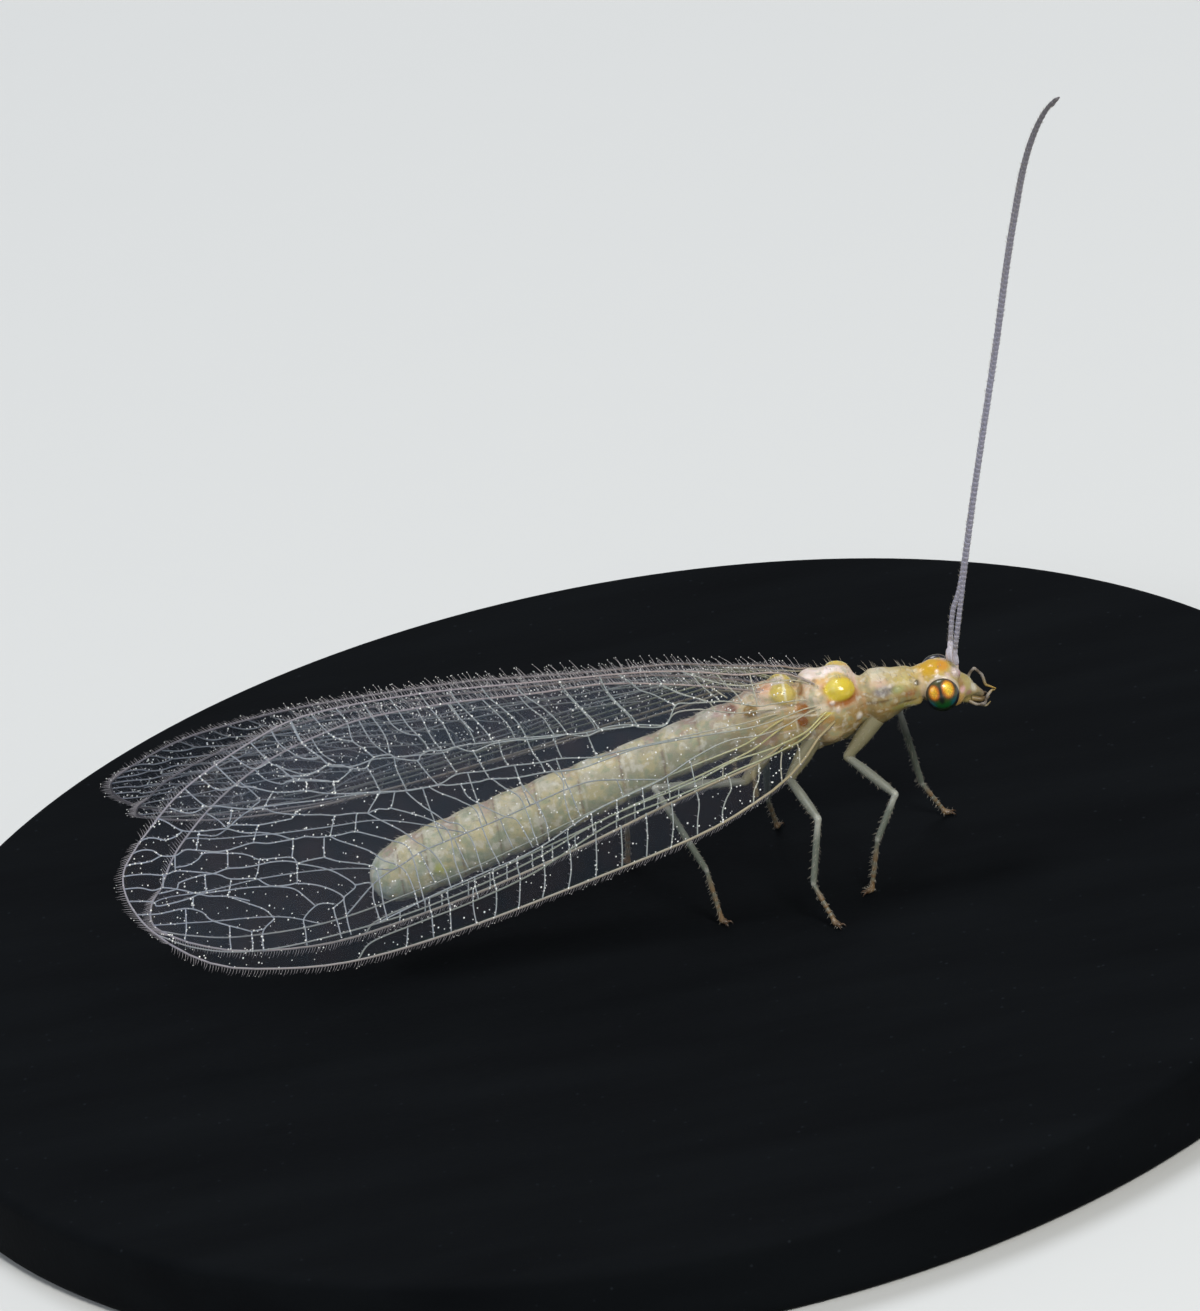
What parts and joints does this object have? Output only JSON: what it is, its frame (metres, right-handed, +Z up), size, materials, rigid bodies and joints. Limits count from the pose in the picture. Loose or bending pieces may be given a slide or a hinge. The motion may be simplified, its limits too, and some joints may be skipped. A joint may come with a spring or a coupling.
{
  "type": "green lacewing model",
  "caption": "Life-size model of a green lacewing standing with its net-veined wings folded like a roof, on a flat round base.",
  "frame": {"origin": "middle of the base's underside", "axes": "+X towards the head, +Y to the animal's left, +Z up, away from the base's underside"},
  "size_m": [0.028, 0.028, 0.0166],
  "materials": {
    "base": "honed black slate",
    "head": "satin cuticle, orange-yellow with a tan face",
    "cuticle": "satin cuticle, yellow with cream and amber marks",
    "abdomen": "soft pale cream-green cuticle",
    "eye": "glossy compound eye, teal below and golden above",
    "antenna": "matte grey cuticle, darker rings",
    "leg": "translucent grey-green cuticle with brown feet",
    "wing": "clear iridescent membrane with pale green veins"
  },
  "bodies": {
    "root": {"stand_base": "base", "head": "head", "prothorax": "cuticle", "mesothorax": "cuticle", "metathorax": "cuticle", "abdomen_front": "abdomen", "abdomen_middle": "abdomen", "abdomen_rear": "abdomen", "eye_left": "eye", "eye_right": "eye", "antenna_left": "antenna", "antenna_right": "antenna", "forewing_left": "wing", "forewing_right": "wing", "hindwing_left": "wing", "hindwing_right": "wing", "leg_fore_right": "leg", "leg_fore_left": "leg", "leg_mid_right": "leg", "leg_mid_left": "leg", "leg_hind_right": "leg", "leg_hind_left": "leg"}
  },
  "joints": []
}
